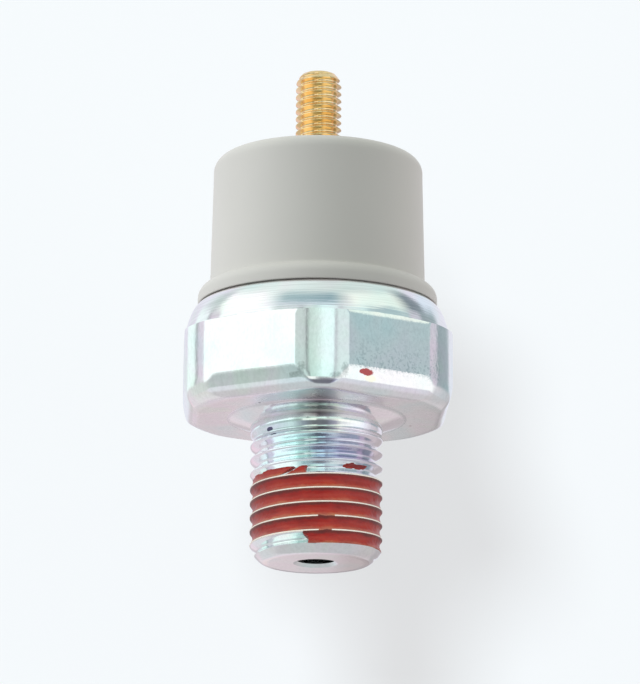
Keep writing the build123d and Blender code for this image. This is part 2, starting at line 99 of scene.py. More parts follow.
# Feet of the hexagon, drawn in below their top: under the flats, at the front corner, and away from
# the front, where the turned base is rounder and grows in between two angles. A round closes each at
# the underside.
flat_foot = {
    "top": under_z + 2.65 * MM, "bend": under_z + 1.15 * MM, "slopes": (0.105, 0.296), "round": 1.0 * MM,
}
land_foot = {
    "top": under_z + 1.25 * MM, "bend": under_z + 0.38 * MM, "slopes": (0.0, 0.577), "round": 0.4 * MM,
}
round_foot = {
    "top": under_z + 2.4 * MM, "bend": under_z + 0.9 * MM, "slopes": (0.0, 0.45), "round": 1.6 * MM,
}
round_foot_angles = (14, 52)
foot_rows_z = 2.9 * MM
under_edge_radius = 12.1 * MM

# Hexagon and rolled shoulder. A land on each corner has a strip on either side, in degrees from the
# corner, and the edges are rounded by one width at the top and another in the foot. The shoulder
# draws in along a slope and the lower part of an ellipse, shoulder_round by shoulder_round_height.
corner_top_z = under_z + 8.3 * MM
flat_top_drop = 0.12 * MM
flat_top_bend_z = corner_top_z - 0.65 * MM
land_half_angle = 6.6
strip_half_angle = 10.9
strip_edge_round = (0.06 * MM, 0.2 * MM)
corner_edge_round = (0.13 * MM, 0.18 * MM)
dent_depth = 0.01 * MM
dent_size = 7 * MM
shoulder_z = corner_top_z + 0.25 * MM
shoulder_foot_radius = flat_distance - flat_top_drop
shoulder_slope = 0.08
shoulder_round = 1.5 * MM
shoulder_round_height = 3.6 * MM
lip_radius = 12.1 * MM
lip_depth = 0.45 * MM
cup_top_z = lip_z - 1.75 * MM
chamber_radius = 8.6 * MM
chamber_floor_z = under_z + 2.0 * MM
seal_groove_radius = 10.0 * MM
seal_gap = 0.05 * MM

# Stud
stud_pitch = 0.8 * MM
stud_depth = 0.46 * MM
stud_crest = 0.1 * MM
stud_step = stud_pitch / 12
stud_tail_radius = 2.0 * MM
stud_flange_z = stud_low.z + 1.1 * MM
stud_flange_top_z = stud_flange_z + 0.8 * MM
stud_collar_radius = 3.6 * MM
stud_collar_top_z = cap_high.z + 0.4 * MM
stud_point_length = 1.5 * MM
stud_point_width = 0.8 * MM

# Cap. Its skirt has one inner radius at the roof and another at its foot.
cap_gap = 0.05 * MM
cap_flange_radius = 12.65 * MM
cap_flange_z = lip_z + 0.12 * MM
cap_flange_edge = 0.12 * MM
cap_rim_z = cap_flange_z + 0.8 * MM
cap_rim_bend = 1.28 * MM
cap_ledge_z = cap_flange_z + 2.08 * MM
cap_foot_radius = 11.36 * MM
cap_top_radius = 11.1 * MM
cap_top_round = 1.5 * MM
cap_roof_z = cap_high.z - 2.05 * MM
cap_boss_radius = 6.0 * MM
cap_boss_z = cap_roof_z - 1.4 * MM
cap_skirt_inner = (8.95 * MM, 9.3 * MM)

# Sealant. Its places along the thread are in degrees after the first crest at the front, and those
# below a crest are shares of a turn. It runs as a film over two crests at the front: each has its
# number and the degrees from the front where the film begins, is whole, thins out and ends.
sealant_low_z = 0.7 * MM
sealant_high_z = thread_start + 5.4 * thread_pitch
sealant_start = -371
sealant_stop = 1431
sealant_thin_top = (1325, 1350)
sealant_thin_below = (0.36, 0.3)
sealant_gap = 1412
sealant_gap_below = 0.7
sealant_gap_slant = 25
sealant_gap_half = (3.2, 1.4)
sealant_patch = (1479, 0.33)
sealant_patch_half = (12, 0.2)
sealant_ragged = 1.5
sealant_edge = 0.8
sealant_sag = 0.3 * MM
sealant_rough_size = 1.8 * MM
sealant_fine_size = 0.5 * MM
sealant_hidden_depth = 0.12 * MM
sealant_patch_lift = 0.05 * MM
sealant_film_lift = 0.02 * MM
sealant_film = ((1, (-1.5, 0.5, 12.5, 15)), (0, (-2, 2, 10, 13)))

FRONT = -90 * DEGREE


def mix(a, b, share):
    """Blend from a to b."""
    return a + (b - a) * share


def smooth_step(low, high, value):
    """0 below low, 1 above high, with a smooth rise between them."""
    share = np.clip((value - low) / (high - low), 0, 1)
    return share * share * (3 - 2 * share)


def soft_min(a, b, width):
    """Smaller of two lengths, rounded where they meet."""
    share = np.clip(0.5 + (b - a) / (2 * width), 0, 1)
    return b + (a - b) * share - width * share * (1 - share)


def waves(x, y, z, size, seed, count=14):
    """Smooth random field with about unit spread, made of plane waves of one size."""
    rng = np.random.default_rng(seed)
    total = np.zeros(np.broadcast(x, y, z).shape)
    for _ in range(count):
        direction = rng.normal(size=3)
        direction /= np.linalg.norm(direction)
        length = size * rng.uniform(0.6, 1.6)
        phase = rng.uniform(0, 2 * math.pi)
        along = x * direction[0] + y * direction[1] + z * direction[2]
        total = total + np.sin(2 * math.pi * along / length + phase)
    return total / math.sqrt(count / 2)


def arc(centre_radius, centre_z, radius, start, stop, steps):
    """Points of an arc in the half-plane of a lathe profile, angles in degrees from outward to up."""
    angles = np.linspace(start, stop, steps) * DEGREE
    return [(centre_radius + radius * math.cos(a), centre_z + radius * math.sin(a)) for a in angles]


def run(start, stop, steps):
    """Evenly spaced points from start up to, but not including, stop."""
    shares = np.arange(steps) / steps
    return [(mix(start[0], stop[0], s), mix(start[1], stop[1], s)) for s in shares]


def lathe(name, radii, heights, angles, poles=False, smooth_angle=30):
    """Mesh over a grid of rows along a profile and columns round the axis. Each cell is halved from
    its corner at the lower row, so that rows moved by follow_thread keep the thread's edges sharp.
    It closes from the last row to the first, or over both ends at the axis where poles is true."""
    rows, columns = radii.shape
    x = radii * np.cos(angles)
    y = radii * np.sin(angles)
    points = np.stack((x, y, heights), axis=-1).reshape(-1, 3)
    column = np.arange(columns)
    beside = (column + 1) % columns
    faces = []
    for row in range(rows if not poles else rows - 1):
        above = (row + 1) % rows
        corner = row * columns + column
        opposite = above * columns + beside
        faces.append(np.stack((corner, row * columns + beside, opposite), axis=-1))
        faces.append(np.stack((corner, opposite, above * columns + column), axis=-1))
    faces = np.concatenate(faces).tolist()
    if poles:
        bottom = len(points)
        ends = [(0, 0, heights[0].mean()), (0, 0, heights[-1].mean())]
        points = np.concatenate((points, np.array(ends)))
        last = (rows - 1) * columns
        faces += [(bottom, int(b), int(c)) for c, b in zip(column, beside)]
        faces += [(bottom + 1, last + int(c), last + int(b)) for c, b in zip(column, beside)]
    mesh = bpy.data.meshes.new(name)
    mesh.from_pydata(points.tolist(), [], faces)
    mesh.validate()
    mesh.shade_smooth()
    mesh.set_sharp_from_angle(angle=smooth_angle * DEGREE)
    piece = bpy.data.objects.new(name, mesh)
    bpy.context.scene.collection.objects.link(piece)
    return piece


def turns_above(angles, heights, start, pitch):
    """Turns of a right-hand thread above its crest at the front, at each angle and height."""
    return (heights - start) / pitch - (angles - FRONT) / (2 * math.pi)


def groove(angles, heights, start, pitch, crest, depth):
    """How far a 60-degree thread lies inside its crests at each angle and height."""
    turns = turns_above(angles, heights, start, pitch)
    off = np.abs(turns - np.round(turns)) * pitch
    flank = (off - crest / 2) / math.tan(30 * DEGREE)
    return soft_min(np.maximum(flank, 0), np.full_like(flank, depth), depth / 6)


def follow_thread(angles, heights, pitch, step, low, high):
    """Heights of rows one step apart, moved up by less than a step so that they run along the thread.
    The move fades out at both ends, low and high."""
    rise = (angles - FRONT) / (2 * math.pi) * pitch / step
    move = (rise - np.floor(rise)) * step
    room = smooth_step(low, low + 3 * step, heights) * smooth_step(high, high - 3 * step, heights)
    return heights + move * room


# Columns round the axis, closer together at the edges of the hexagon's corners
def sector_angles():
    """Angles from the middle of one flat to the middle of the next, in degrees."""
    strip_edge = 30 - strip_half_angle
    land_edge = 30 - land_half_angle
    tight = 0.3
    half = list(np.linspace(0, strip_edge - tight, 12))
    half += [strip_edge, strip_edge + tight]
    half += list(np.linspace(strip_edge + tight, land_edge - tight, 6)[1:])
    half += [land_edge, land_edge + tight]
    half += list(np.linspace(land_edge + tight, 30, 7)[1:])
    return half + [60 - a for a in reversed(half[1:-1])]


angles = np.array([60 * side + a for side in range(6) for a in sector_angles()]) * DEGREE
angles = (angles - FRONT + math.pi) % (2 * math.pi) - math.pi + FRONT
angles = np.sort(angles)


def rounded_end(heights):
    """Radius of the shank's worn end. Above it, the radius is well past the crests."""
    share = np.clip(heights / end_height, 0, 1)
    clear_above = np.maximum(heights - end_height, 0) * 10
    return end_radius + (crest_radius - end_radius) * share**0.65 + clear_above


def shank_surface(angles, heights):
    """Radius of the threaded shank."""
    fade = smooth_step(collar_z - 0.2 * MM, collar_z - thread_run_out, heights)
    depth = groove(angles, heights, thread_start, thread_pitch, thread_crest, thread_depth)
    turned = np.full_like(heights, crest_radius)
    return np.minimum(turned - depth * fade, rounded_end(heights))


def foot_inset(foot, heights):
    """How far a foot is drawn in. Its slope grows from the top to the bend, and a round closes it."""
    length = foot["top"] - foot["bend"]
    first, second = foot["slopes"]
    share = np.clip((foot["top"] - heights) / length, 0, 1)
    inset = length * (first * share + (second - first) / 2 * share**2)
    height = foot["bend"] - under_z
    low = np.clip((foot["bend"] - heights) / height, 0, 1)
    return inset + height * second * low + foot["round"] * (1 - np.sqrt(1 - low**2))


def hexagon_cut(angles, heights):
    """Radius of the six flats with their drawn-in feet, and of the strips beside each corner."""
    off_flat = (angles / DEGREE + 30) % 60 - 30
    above = np.clip((heights - flat_top_bend_z) / (shoulder_z - flat_top_bend_z), 0, 1)
    distance = flat_distance - foot_inset(flat_foot, heights) - flat_top_drop * above**2
    flat = distance / np.cos(off_flat * DEGREE)
    edge = (30 - strip_half_angle) * DEGREE
    start = np.array((1, math.tan(edge))) * flat_distance
    land = (30 - land_half_angle) * DEGREE
    stop = np.array((math.cos(land), math.sin(land))) * corner_radius
    along = stop - start
    normal = np.array((along[1], -along[0])) / np.linalg.norm(along)
    side = np.abs(off_flat) * DEGREE
    strip = (normal @ start) / (np.cos(side) * normal[0] + np.sin(side) * normal[1])
    low = smooth_step(flat_foot["top"] + 0.4 * MM, flat_foot["bend"], heights)
    return soft_min(flat, strip, mix(*strip_edge_round, low))


def inner_profile():
    """Port and restrictor's pocket, from the chamber's floor down to the flat end."""
    profile = [
        (restrictor_high.x, chamber_floor_z),
        (restrictor_high.x, restrictor_low.z),
        (port_radius, restrictor_low.z),
    ]
    profile += run((port_radius, restrictor_low.z), (port_radius, port_chamfer), 7)[1:]
    profile += [(port_radius, port_chamfer), (port_radius + port_chamfer, 0)]
    return profile + run(profile[-1], (end_radius, 0), 5)[1:]


def underside_profile():
    """Collar and underside, out to the foot of the hexagon."""
    profile = run((crest_radius, collar_z), (collar_radius, under_z - collar_bevel), 6)
    profile += [(collar_radius, under_z - collar_bevel), (collar_radius + collar_bevel, under_z)]
    profile += run(profile[-1], (under_edge_radius, under_z), 8)[1:]
    return profile + [(under_edge_radius, under_z)]


def outer_profile():
    """Corners of the hexagon and the rolled shoulder, before the flats are cut."""
    round_height = land_foot["bend"] - under_z
    in_round = np.linspace(0, 1, 14)[:-1] ** 2 * round_height
    rises = np.concatenate((in_round, np.linspace(round_height, foot_rows_z, 26)))
    profile = [(corner_radius - float(foot_inset(land_foot, under_z + z)), under_z + z) for z in rises]
    profile += run(profile[-1], (corner_radius, flat_top_bend_z), 10)[1:]
    profile += run((corner_radius, flat_top_bend_z), (corner_radius, corner_top_z), 6)
    profile += run((corner_radius, corner_top_z), (shoulder_foot_radius, shoulder_z), 5)
    rises = np.linspace(0, 1, 25) ** 0.8 * (lip_z - shoulder_z)
    insets = shoulder_slope * rises
    insets += shoulder_round * (1 - np.sqrt(1 - (rises / shoulder_round_height) ** 2))
    radii = shoulder_foot_radius - insets
    return profile + [(float(radius), shoulder_z + float(z)) for radius, z in zip(radii, rises)]


def cup_profile():
    """Lip, cup, groove of the seal and chamber, from the top down."""
    return [
        (lip_radius, lip_z),
        (lip_radius, lip_z - lip_depth),
        (cup_radius, cup_top_z),
        (cup_radius, seal_high.z),
        (seal_high.x + seal_gap, seal_high.z),
        (seal_high.x + seal_gap, seal_low.z),
        (seal_groove_radius, seal_low.z),
        (seal_groove_radius, seal_high.z),
        (chamber_radius, seal_high.z),
        (chamber_radius, chamber_floor_z),
    ]


def make_body():
    """Steel body: shank with its thread, hexagon, rolled shoulder and cup."""
    inner = inner_profile()
    shank = [(crest_radius, z) for z in np.arange(0, collar_z - 0.5 * thread_step, thread_step)]
    underside = underside_profile()
    cup = cup_profile()
    profile = np.array(inner + shank + underside + outer_profile() + cup)
    radii = np.repeat(profile[:, :1], len(angles), axis=1)
    heights = np.repeat(profile[:, 1:], len(angles), axis=1)
    around = angles + 0 * heights
    threaded = slice(len(inner), len(inner) + len(shank))
    spread = around[threaded]
    heights[threaded] = follow_thread(spread, heights[threaded], thread_pitch, thread_step, 0, collar_z)
    radii[threaded] = shank_surface(spread, heights[threaded])
    outer = slice(threaded.stop + len(underside), len(profile) - len(cup))
    level = heights[outer]
    cut = hexagon_cut(around[outer], level)
    beside_front = smooth_step(*round_foot_angles, np.abs(around[outer] - FRONT) / DEGREE)
    rounder = foot_inset(round_foot, level) - foot_inset(land_foot, level)
    radii[outer] -= np.where(level < shoulder_z, rounder * beside_front, 0)
    low = smooth_step(flat_foot["top"], land_foot["top"], level)
    radii[outer] = soft_min(radii[outer], cut, mix(*corner_edge_round, low))
    x = radii[outer] * np.cos(angles)
    y = radii[outer] * np.sin(angles)
    dents = waves(x, y, level, dent_size, seed=11) * dent_depth
    radii[outer] += np.minimum(dents, 2 * dent_depth) - 2 * dent_depth
    return lathe("steel_body", radii, heights, angles)


def make_stud():
    """Brass stud: tail, flange and collar held by the cap, and the threaded end with its point."""
    point_z = stud_high.z - stud_point_length
    point_radius = stud_crest_radius - stud_point_width
    stem = [
        (stud_tail_radius, stud_low.z),
        (stud_tail_radius, stud_flange_z),
        (stud_high.x, stud_flange_z),
        (stud_high.x, stud_flange_top_z),
        (stud_collar_radius, stud_flange_top_z),
        (stud_collar_radius, stud_collar_top_z),
    ]
    rising = np.arange(stud_collar_top_z, stud_high.z - 0.5 * stud_step, stud_step)
    shares = np.clip((rising - point_z) / stud_point_length, 0, 1)
    threaded = [(stud_crest_radius - stud_point_width * s**2.2, z) for s, z in zip(shares, rising)]
    tip = [
        (point_radius, stud_high.z - 0.06 * MM),
        (point_radius - 0.08 * MM, stud_high.z),
        (point_radius / 2, stud_high.z),
    ]
    profile = np.array(stem + threaded + tip)
    around = np.linspace(0, 2 * math.pi, 144, endpoint=False) + FRONT - math.pi
    radii = np.repeat(profile[:, :1], len(around), axis=1)
    heights = np.repeat(profile[:, 1:], len(around), axis=1)
    rows = slice(len(stem), len(stem) + len(threaded))
    spread = around + 0 * heights[rows]
    level = follow_thread(spread, heights[rows], stud_pitch, stud_step, stud_collar_top_z, stud_high.z)
    depth = groove(spread, level, stud_high.z, stud_pitch, stud_crest, stud_depth)
    heights[rows] = level
    radii[rows] = np.minimum(radii[rows], stud_crest_radius - depth)
    return lathe("brass_stud", radii, heights, around, poles=True)


def make_cap():
    """Moulded cap: skirt in the cup, groove for the rolled edge, flange and tapered dome."""
    skirt_radius = cup_radius - cap_gap
    groove_radius = lip_radius - cap_gap
    inside = [
        (stud_collar_radius, cap_high.z - 0.1 * MM),
        (stud_collar_radius, stud_flange_top_z),
        (stud_high.x, stud_flange_top_z),
        (stud_high.x, stud_flange_z),
        (stud_tail_radius, stud_flange_z),
        (stud_tail_radius, cap_boss_z),
        (cap_boss_radius, cap_boss_z),
        (cap_boss_radius, cap_roof_z),
        (cap_skirt_inner[0], cap_roof_z),
        (cap_skirt_inner[1], cap_low.z),
        (skirt_radius, cap_low.z),
        (skirt_radius, cup_top_z - cap_gap),
        (groove_radius, lip_z - lip_depth - cap_gap),
        (groove_radius, cap_flange_z),
    ]
    edge_radius = cap_flange_radius - cap_flange_edge
    outside = run((lip_radius, cap_flange_z), (edge_radius, cap_flange_z), 3)
    outside += arc(edge_radius, cap_flange_z + cap_flange_edge, cap_flange_edge, -90, 0, 5)
    outside += arc(cap_flange_radius - cap_rim_bend, cap_rim_z, cap_rim_bend, 0, 60, 14)
    outside += run(outside[-1], (cap_foot_radius + 0.08 * MM, cap_ledge_z - 0.06 * MM), 5)[1:]
    outside += [
        (cap_foot_radius + 0.03 * MM, cap_ledge_z + 0.08 * MM),
        (cap_foot_radius, cap_ledge_z + 0.25 * MM),
    ]
    wall_top_z = cap_high.z - cap_top_round
    taper = math.atan2(cap_foot_radius - cap_top_radius, cap_high.z - cap_ledge_z) / DEGREE
    outside += run(outside[-1], (cap_top_radius - 0.02 * MM, wall_top_z), 14)[1:]
    outside += arc(cap_top_radius - cap_top_round, wall_top_z, cap_top_round, taper, 90, 12)
    hole_edge = (stud_collar_radius + 0.1 * MM, cap_high.z)
    outside += run(outside[-1], hole_edge, 8)[1:] + [hole_edge]
    profile = np.array(inside + outside)
    around = np.linspace(0, 2 * math.pi, 240, endpoint=False)
    radii = np.repeat(profile[:, :1], len(around), axis=1)
    heights = np.repeat(profile[:, 1:], len(around), axis=1)
    return lathe("grey_cap", radii, heights, around, smooth_angle=40)


def make_sealant():
    """Dried sealant: fills the grooves over about four turns and leaves most of the crests bare."""
    outer = np.arange(sealant_low_z, sealant_high_z, thread_step)
    columns = np.linspace(FRONT - math.pi, FRONT + math.pi, 420, endpoint=False)
    heights = np.repeat(outer[:, None], len(columns), axis=1)
    around = columns + 0 * heights
    heights = follow_thread(around, heights, thread_pitch, thread_step, sealant_low_z, sealant_high_z)
    turns = turns_above(around, heights, thread_start, thread_pitch)
    off = (around - FRONT) / DEGREE
    below = np.ceil(turns - 0.001) - turns
    along = off + 360 * (np.ceil(turns - 0.001) - 1)
    x = crest_radius * np.cos(around)
    y = crest_radius * np.sin(around)
    rough = waves(x, y, heights, sealant_rough_size, seed=21)
    fine = waves(x, y, heights, sealant_fine_size, seed=22)

    # Where the coat is: from its start to its stop, thinner at the top, with one bare slit and a patch
    start = sealant_start + sealant_ragged * rough + 4 * (below - 0.5)
    stop = sealant_stop + sealant_ragged * rough
    inside = smooth_step(start - sealant_edge, start + sealant_edge, along)
    inside = inside * smooth_step(stop + sealant_edge, stop - sealant_edge, along)
    thin_top = smooth_step(*sealant_thin_top, along)
    thin_top = thin_top * smooth_step(*sealant_thin_below, below + 0.03 * rough)
    from_gap = np.abs(along - sealant_gap + sealant_gap_slant * (below - sealant_gap_below))
    slit = smooth_step(*sealant_gap_half, from_gap)
    inside = inside * (1 - thin_top) * (1 - slit)
    patch = 1 - ((along - sealant_patch[0]) / sealant_patch_half[0]) ** 2
    patch -= ((below - sealant_patch[1]) / sealant_patch_half[1]) ** 2
    patch = smooth_step(0.0, 0.25, patch + 0.25 * rough)

    # Its surface sags between the crests, and the film covers two of them at the front
    sag = sealant_sag * np.sin(math.pi * np.clip((below - 0.1) / 0.9, 0, 1) ** 0.85) ** 1.1
    ripple = (0.014 * rough + 0.006 * fine) * MM * np.sin(math.pi * np.clip(below, 0, 1))
    surface = crest_radius - 0.014 * MM - sag + ripple
    on_crest = smooth_step(0.2 * MM, 0.1 * MM, np.abs(turns - np.round(turns)) * thread_pitch)
    covered = np.zeros_like(turns)
    for crest, (begins, whole, thins, ends) in sealant_film:
        film = smooth_step(begins, whole, off) * smooth_step(ends, thins, off) * (np.round(turns) == crest)
        covered = np.maximum(covered, film * on_crest)
    surface = np.maximum(surface, mix(surface, crest_radius - 0.002 * MM, covered))
    steel = shank_surface(around, heights)
    hidden = steel - sealant_hidden_depth
    radii = mix(hidden, surface, inside)
    radii = np.maximum(radii, mix(hidden, steel + sealant_patch_lift, patch))
    radii = np.where(covered > 0.5, np.maximum(radii, steel + sealant_film_lift), radii)
    radii = np.minimum(radii, rounded_end(heights) - 0.02 * MM)
    core = crest_radius - thread_depth - 0.25 * MM
    radii = np.concatenate((np.full((2, len(columns)), core), radii))
    ends = np.array([[sealant_high_z], [sealant_low_z]]) + np.zeros((2, len(columns)))
    heights = np.concatenate((ends, heights))
    return lathe("thread_sealant", radii, heights, columns)


# Node materials
class Shader:
    """Material with a Principled surface, and short calls for its nodes."""

    def __init__(self, name, color, roughness, metallic=0.0):
        self.material = bpy.data.materials.new(name)
        self.material.use_nodes = True
        self.tree = self.material.node_tree
        self.surface = self.tree.nodes["Principled BSDF"]
        self.set("Base Color", (*color, 1))
        self.set("Roughness", roughness)
        self.set("Metallic", metallic)

    def node(self, kind, inputs=None, **settings):
        """New node with settings and inputs. An input is a value or a socket to link."""
        node = self.tree.nodes.new("ShaderNode" + kind)
        for key, value in settings.items():
            setattr(node, key, value)
        for key, value in (inputs or {}).items():
            self.feed(node.inputs[key], value)
        return node

    def feed(self, socket, value):
        """Sets or links an input."""
        if isinstance(value, bpy.types.NodeSocket):
            self.tree.links.new(value, socket)
        else:
            socket.default_value = value

    def set(self, name, value):
        """Sets or links an input of the surface."""
        self.feed(self.surface.inputs[name], value)

    def place(self):
        """Place on the piece, in metres."""
        return self.node("TexCoord").outputs["Object"]

    def axes(self):
        """The three coordinates of the place."""
        parts = self.node("SeparateXYZ", {"Vector": self.place()})
        return parts.outputs[0], parts.outputs[1], parts.outputs[2]

    def math(self, operation, a, b=0.0):
        """Result of one math node."""
        node = self.node("Math", operation=operation)
        self.feed(node.inputs[0], a)
        self.feed(node.inputs[1], b)
        return node.outputs[0]

    def times(self, first, *others):
        """Product of values."""
        for other in others:
            first = self.math("MULTIPLY", first, other)
        return first

    def square_sum(self, a, b):
        """Sum of two squares."""
        return self.math("ADD", self.times(a, a), self.times(b, b))

    def spot(self, first, second, mark, soft=0.2, ragged=0.8, scale=2500):
        """Ragged spot, 1 inside. The mark is its middle along two axes and its half sizes, in mm."""
        middle_first, middle_second, half_first, half_second = (length * MM for length in mark)
        along = self.math("DIVIDE", self.math("SUBTRACT", first, middle_first), half_first)
        over = self.math("DIVIDE", self.math("SUBTRACT", second, middle_second), half_second)
        rough = self.range(self.noise(scale, 3.0), 0.0, 1.0, -ragged, ragged)
        return self.rise(self.math("ADD", self.square_sum(along, over), rough), 1 + soft, 1 - soft)

    def noise(self, scale, detail=3.0, stretch=(1, 1, 1), rough=0.55):
        """Noise over the piece. The scale is in cycles per metre."""
        mapped = self.node("Mapping", {"Vector": self.place(), "Scale": stretch})
        inputs = {"Vector": mapped.outputs[0], "Scale": scale, "Detail": detail, "Roughness": rough}
        return self.node("TexNoise", inputs).outputs["Fac"]

    def ramp(self, value, *stops):
        """Colours or greys at stops of a value."""
        ramp = self.node("ValToRGB", {"Fac": value})
        elements = ramp.color_ramp.elements
        while len(elements) < len(stops):
            elements.new(0.5)
        for element, (position, color) in zip(elements, stops):
            element.position = position
            element.color = (*color, 1) if isinstance(color, tuple) else (color, color, color, 1)
        return ramp.outputs["Color"]

    def range(self, value, low, high, to_low, to_high):
        """Value moved from one range to another."""
        inputs = {"Value": value, "From Min": low, "From Max": high, "To Min": to_low, "To Max": to_high}
        return self.node("MapRange", inputs).outputs["Result"]

    def rise(self, value, zero, one):
        """0 where the value is at zero, rising to 1 where it is at one."""
        return self.range(value, zero, one, 0.0, 1.0)

    def blend(self, share, a, b, kind="MIX"):
        """Colour a blended into b."""
        node = self.node("Mix", data_type="RGBA", blend_type=kind)
        self.feed(node.inputs[0], share)
        self.feed(node.inputs[6], a if isinstance(a, bpy.types.NodeSocket) else (*a, 1))
        self.feed(node.inputs[7], b if isinstance(b, bpy.types.NodeSocket) else (*b, 1))
        return node.outputs[2]

    def shade(self, share, color, tint):
        """Colour multiplied by a tint as far as the share goes."""
        return self.blend(share, color, self.blend(1.0, color, tint, "MULTIPLY"))

    def bump(self, height, distance, strength=1.0):
        """Relief in the surface. The distance is in metres."""
        inputs = {"Height": height, "Distance": distance, "Strength": strength}
        node = self.node("Bump", inputs)
        self.set("Normal", node.outputs["Normal"])


# Tints of the zinc: by a noise on most of it, and from left to right on the rest, where they are painted
# reflection and painted shade on the neck, the faces that look down and the collar
rolled_tints = (
    (0.34, (0.84, 0.93, 0.93)), (0.47, (0.93, 0.93, 0.93)), (0.56, (0.95, 0.90, 0.93)),
    (0.66, (0.90, 0.94, 0.89)),
)
neck_high_tint_and_reflection = (
    (0.04, (0.93, 0.86, 0.91)), (0.16, (0.80, 0.88, 0.93)), (0.34, (0.76, 0.93, 0.90)),
    (0.52, (0.80, 0.92, 0.84)), (0.66, (0.97, 0.98, 0.88)), (0.80, (0.86, 0.86, 0.95)),
    (0.92, (0.94, 0.87, 0.90)),
)
neck_low_tint_and_reflection = (
    (0.04, (0.93, 0.85, 0.90)), (0.16, (0.88, 0.92, 0.97)), (0.30, (0.80, 0.98, 0.97)),
    (0.42, (0.78, 0.93, 0.93)), (0.52, (0.68, 0.76, 0.86)), (0.68, (0.62, 0.60, 0.76)),
    (0.82, (0.74, 0.68, 0.78)), (0.93, (0.93, 0.85, 0.87)),
)
faces_down_painted_shade = (
    (0.0, (0.88, 0.87, 0.89)), (0.3, (1.0, 0.97, 1.0)), (0.6, (0.92, 0.91, 0.92)),
    (1.0, (0.74, 0.77, 0.75)),
)
collar_painted_reflection = (
    (0.0, 0.88), (0.32, 0.84), (0.42, 0.62), (0.5, 0.36), (0.6, 0.72), (0.68, 0.92), (1.0, 1.0),
)

# Heights between which the neck's tints and painted reflection come in and change over, and the pale film
# on the crests ends
neck_start_z = (8.5 * MM, 10.5 * MM)
neck_change_z = (11.6 * MM, 13.0 * MM)
film_end_z = (9.3 * MM, 8.9 * MM)

# Marks on the zinc, and patches of painted shade at the feet of the strips: middle and half sizes in mm,
# across and up on the front, and across and away on the faces that look down
red_dab = (4.6, 17.4, 0.72, 0.34)
pale_stain = (5.0, 16.8, 0.6, 0.35)
dark_blot = (-5.0, 13.3, 0.3, 0.2)
# Patches of painted shade at the feet of the strips beside the front corner
strip_foot_shades = (
    (-2.15, 17.55, 0.35, 0.5), (-2.75, 16.85, 0.6, 0.25), (2.35, 17.4, 0.3, 0.6), (1.5, 16.7, 0.6, 0.28),
)
dots_below = (
    ((-6.2, -7.4, 0.14, 0.14), (0.10, 0.08, 0.12)), ((10.0, 2.4, 0.14, 0.14), (0.30, 0.14, 0.14)),
)


def zinc_tint_and_reflection(shader, across, up):
    """Faint rainbow of the zinc, and on the neck between the sealant and the collar a stronger tint with a
    painted reflection that runs from left to right, darker in the middle.
    """
    spread = shader.range(shader.noise(260, 2.0, (1, 1, 1.6)), 0.3, 0.7, -1.3 * MM, 1.3 * MM)
    place = shader.rise(shader.math("ADD", across, spread), -7.5 * MM, 7.5 * MM)
    # On the neck the tints are a painted reflection, running from left to right
    low = shader.ramp(place, *neck_low_tint_and_reflection)
    high = shader.ramp(place, *neck_high_tint_and_reflection)
    neck = shader.blend(shader.rise(up, *neck_change_z), low, high)
    below_collar = shader.rise(up, under_z - 0.8 * MM, under_z - 1.6 * MM)
    share = shader.times(below_collar, shader.range(up, *neck_start_z, 0.12, 1.0))
    return shader.blend(share, shader.ramp(shader.noise(150, 2.0), *rolled_tints), neck)


def zinc_frost(shader, across, up, in_front):
    """How rough the flat at the right of the front is, most just above its foot."""
    right = shader.times(shader.rise(across, 2.6 * MM, 3.6 * MM), shader.rise(across, 12.8 * MM, 12.2 * MM))
    fading = shader.range(up, under_z + 5.6 * MM, under_z + 2.9 * MM, 0.25, 1.0)
    above_foot = shader.rise(up, under_z + 1.9 * MM, under_z + 2.6 * MM)
    below_shoulder = shader.rise(up, shoulder_z, shoulder_z - 0.5 * MM)
    return shader.times(right, in_front, fading, above_foot, below_shoulder)


def zinc_painted_shade(shader, color, across, up, underside, flat_end):
    """Painted reflection and shade in the zinc's colour: darker in the underside's middle, on the flat
    end's right and in bands across the collar, and a little darker on the worn end.
    """
    # Painted reflection, darker in the middle of the underside
    middle = shader.rise(across, -2.5 * MM, 2.5 * MM)
    middle = shader.ramp(middle, (0.0, 0.0), (0.4, 1.0), (0.6, 1.0), (1.0, 0.0))
    color = shader.shade(shader.times(underside, middle), color, (0.82, 0.74, 0.77))
    # Painted shade on the right of the flat end
    end_right = shader.times(flat_end, shader.rise(across, 1.5 * MM, 3.5 * MM))
    color = shader.shade(end_right, color, (0.80, 0.77, 0.74))
    worn_end = shader.times(shader.rise(up, 1.5 * MM, 1.2 * MM), shader.rise(up, 0.02 * MM, 0.05 * MM))
    color = shader.shade(worn_end, color, (0.90, 0.93, 0.91))
    above_neck = shader.rise(up, under_z - 1.3 * MM, under_z - 1.0 * MM)
    on_collar = shader.times(above_neck, shader.rise(up, under_z - 0.02 * MM, under_z - 0.06 * MM))
    # Painted reflection in bands across the collar, dark in its middle
    return shader.shade(on_collar, color, shader.ramp(shader.rise(across, -8 * MM, 8 * MM), *collar_painted_reflection))


